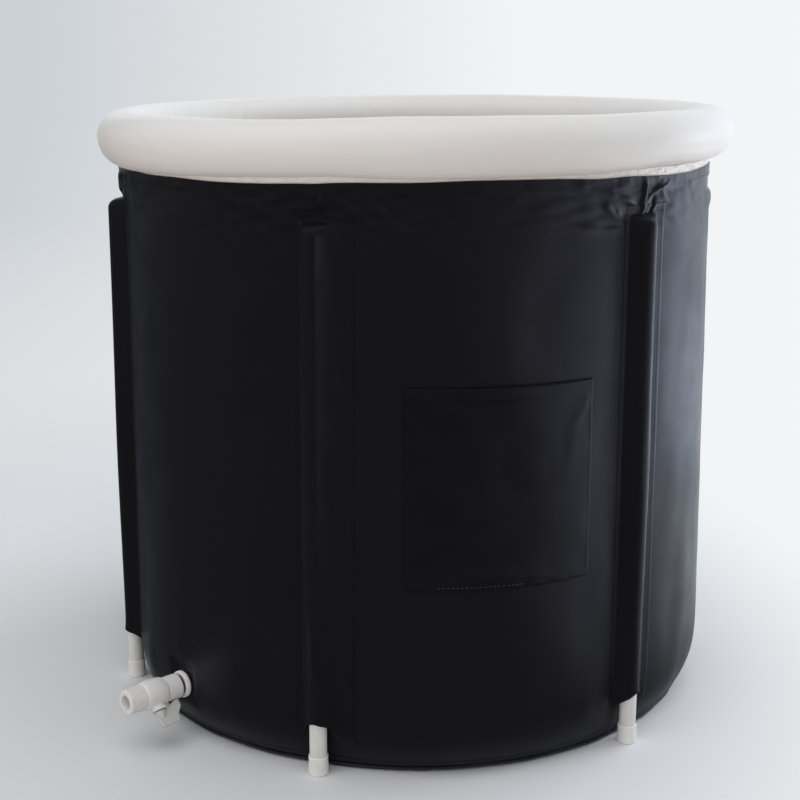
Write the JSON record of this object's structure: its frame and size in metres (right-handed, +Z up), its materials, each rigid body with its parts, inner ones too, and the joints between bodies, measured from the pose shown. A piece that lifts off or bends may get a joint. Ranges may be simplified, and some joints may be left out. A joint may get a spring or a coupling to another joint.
{
  "type": "foldable bathtub",
  "caption": "Round foldable bathtub: padded black bag with a white liner, white inflated rim, poles in sewn sleeves, a side pocket and a low lever drain valve.",
  "frame": {"origin": "centre of the base on the floor", "axes": "+Z up, the drain valve points along -Y"},
  "size_m": [0.7876, 0.858, 0.7383],
  "materials": {
    "coated_fabric": "black satin coated cloth",
    "sleeve_fabric": "black satin coated cloth",
    "seam_binding": "bound seam",
    "closed_cell_foam": "matt foam sheet",
    "liner_vinyl": "satin vinyl sheet",
    "rim_vinyl": "smooth inflated vinyl",
    "band_vinyl": "crinkled vinyl sheet",
    "clear_vinyl": "smooth soft vinyl",
    "pipe_plastic": "satin extruded plastic",
    "cap_plastic": "satin moulded plastic",
    "valve_plastic": "satin moulded plastic",
    "lever_plastic": "satin moulded plastic",
    "ball_plastic": "polished plastic",
    "seat_plastic": "smooth low-friction plastic",
    "gasket_rubber": "black moulded rubber"
  },
  "bodies": {
    "tub": {"cover": "coated_fabric", "base_piping": "seam_binding", "foam_wall": "closed_cell_foam", "foam_base": "closed_cell_foam", "liner": "liner_vinyl", "pole_sleeve_1": "sleeve_fabric", "pole_sleeve_2": "sleeve_fabric", "pole_sleeve_3": "sleeve_fabric", "pole_sleeve_4": "sleeve_fabric", "pole_sleeve_5": "sleeve_fabric", "pole_sleeve_6": "sleeve_fabric", "side_pocket": "sleeve_fabric", "drain_fitting": "valve_plastic", "drain_inner_gasket": "gasket_rubber", "drain_outer_gasket": "gasket_rubber", "drain_lock_nut": "valve_plastic", "drain_seal_ring": "gasket_rubber", "valve_collar": "valve_plastic", "valve_body": "valve_plastic", "ball_seat_inlet": "seat_plastic", "ball_seat_outlet": "seat_plastic"},
    "rim": {"rim_ring": "rim_vinyl", "rim_band": "band_vinyl", "inflation_neck": "clear_vinyl", "inflation_flap": "clear_vinyl"},
    "inflation_plug": {"inflation_stopper": "rim_vinyl"},
    "drain_lever": {"valve_lever": "lever_plastic", "valve_stem": "valve_plastic", "valve_ball": "ball_plastic", "stem_oring": "gasket_rubber"},
    "pole_1_set": {"pole_1": "pipe_plastic", "pole_foot_1": "cap_plastic", "pole_top_plug_1": "cap_plastic"},
    "pole_2_set": {"pole_2": "pipe_plastic", "pole_foot_2": "cap_plastic", "pole_top_plug_2": "cap_plastic"},
    "pole_3_set": {"pole_3": "pipe_plastic", "pole_foot_3": "cap_plastic", "pole_top_plug_3": "cap_plastic"},
    "pole_4_set": {"pole_4": "pipe_plastic", "pole_foot_4": "cap_plastic", "pole_top_plug_4": "cap_plastic"},
    "pole_5_set": {"pole_5": "pipe_plastic", "pole_foot_5": "cap_plastic", "pole_top_plug_5": "cap_plastic"},
    "pole_6_set": {"pole_6": "pipe_plastic", "pole_foot_6": "cap_plastic", "pole_top_plug_6": "cap_plastic"}
  },
  "joints": [
    {"name": "wall_fold", "type": "slide", "parent": "tub", "child": "rim", "axis": [0, 0, -1], "range_m": [0, 0.5], "deforming": ["cover", "foam_wall", "liner", "side_pocket", "pole_sleeve_1", "pole_sleeve_2", "pole_sleeve_3", "pole_sleeve_4", "pole_sleeve_5", "pole_sleeve_6"]},
    {"name": "pole_1_slide", "type": "slide", "parent": "rim", "child": "pole_1_set", "axis": [0, 0, -1], "range_m": [0, 0.6]},
    {"name": "pole_2_slide", "type": "slide", "parent": "rim", "child": "pole_2_set", "axis": [0, 0, -1], "range_m": [0, 0.6]},
    {"name": "pole_3_slide", "type": "slide", "parent": "rim", "child": "pole_3_set", "axis": [0, 0, -1], "range_m": [0, 0.6]},
    {"name": "pole_4_slide", "type": "slide", "parent": "rim", "child": "pole_4_set", "axis": [0, 0, -1], "range_m": [0, 0.6]},
    {"name": "pole_5_slide", "type": "slide", "parent": "rim", "child": "pole_5_set", "axis": [0, 0, -1], "range_m": [0, 0.6]},
    {"name": "pole_6_slide", "type": "slide", "parent": "rim", "child": "pole_6_set", "axis": [0, 0, -1], "range_m": [0, 0.6]},
    {"name": "drain_lever_turn", "type": "hinge", "parent": "tub", "child": "drain_lever", "pos_m": [0, -0.4215, 0.065], "axis": [0.6428, 0, -0.766], "range_deg": [0, 90]},
    {"name": "inflation_plug_pull", "type": "slide", "parent": "rim", "child": "inflation_plug", "axis": [0, 1, 0], "range_m": [0, 0.014]}
  ]
}
